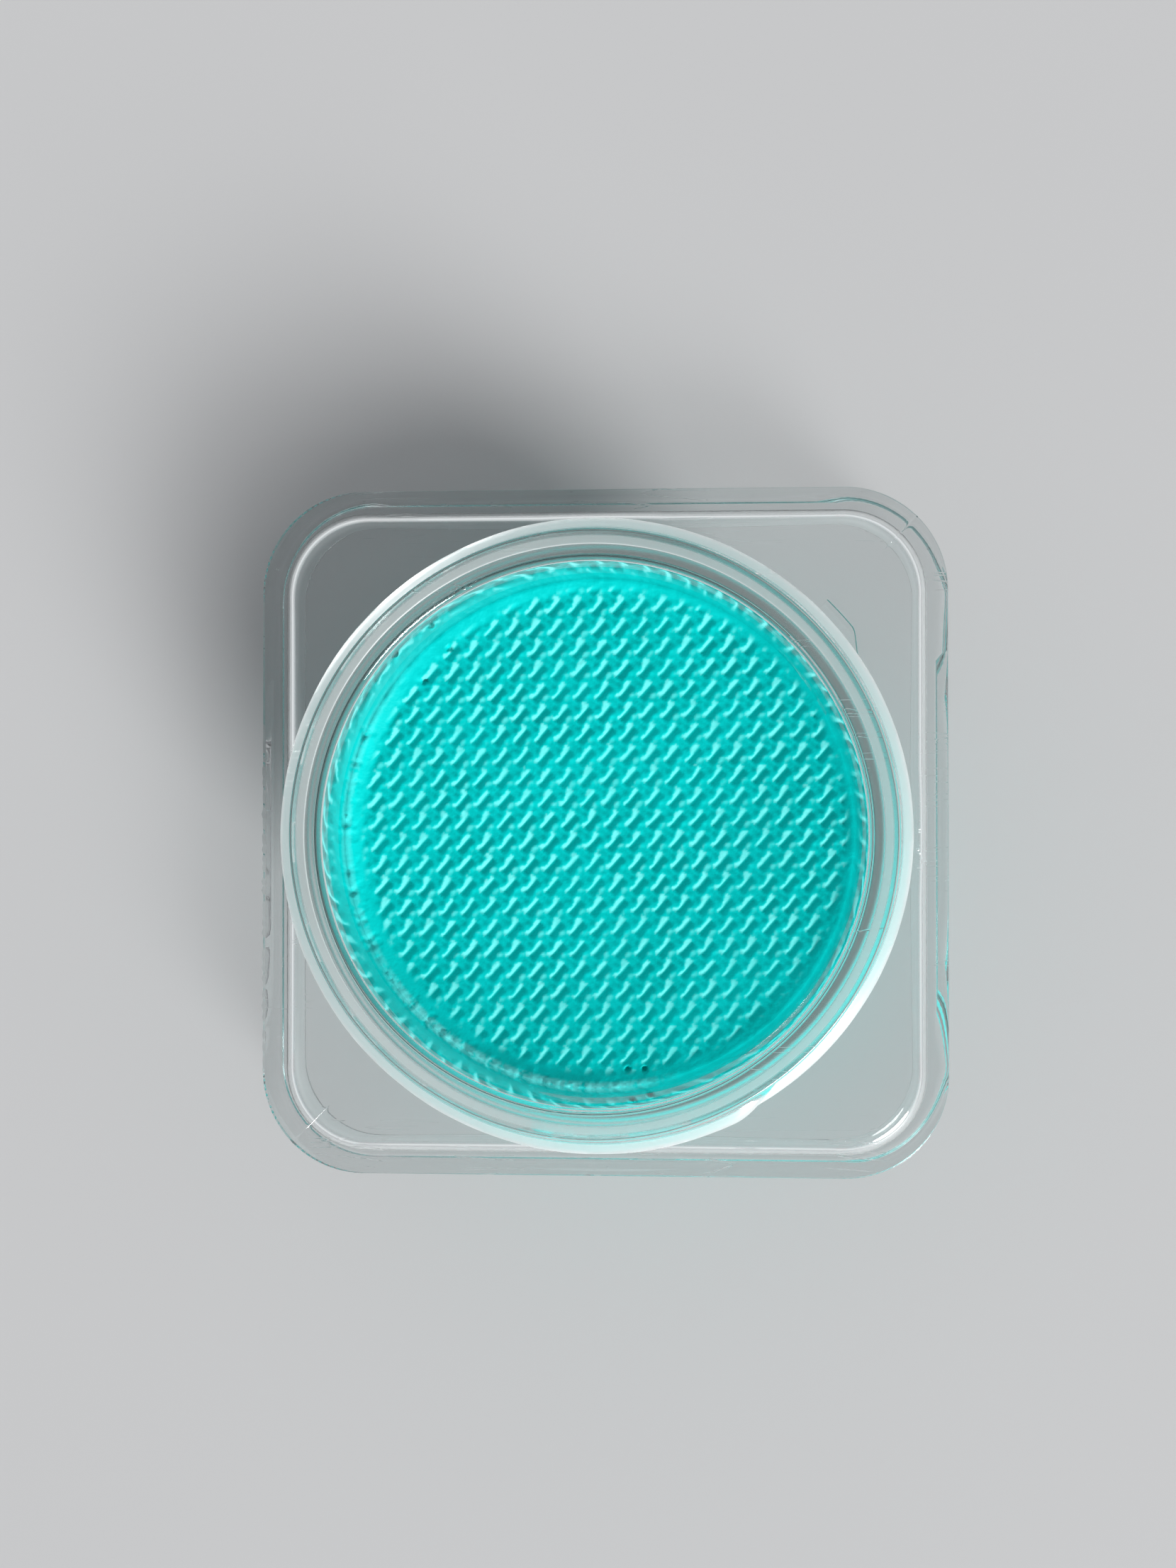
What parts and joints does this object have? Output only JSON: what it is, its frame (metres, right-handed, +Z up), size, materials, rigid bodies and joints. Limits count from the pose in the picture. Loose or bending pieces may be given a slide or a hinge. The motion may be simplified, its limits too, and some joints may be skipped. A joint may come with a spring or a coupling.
{
  "type": "paint pot",
  "caption": "Clear square pot with a round screw neck and a round cup, filled below its lip with a pressed cake of water-activated pigment that bears a woven imprint.",
  "frame": {"origin": "middle of the footprint, on the surface that the pot stands on", "axes": "+Z up along the cup's axis, out of its mouth; +X and +Y square to the pot's sides, with the stop lug in the corner between +X and +Y"},
  "size_m": [0.03, 0.03, 0.0124],
  "materials": {
    "clear_polystyrene": "polished",
    "pressed_pigment": "matte"
  },
  "bodies": {
    "root": {"pot": "clear_polystyrene", "pigment_cake": "pressed_pigment"}
  },
  "joints": []
}
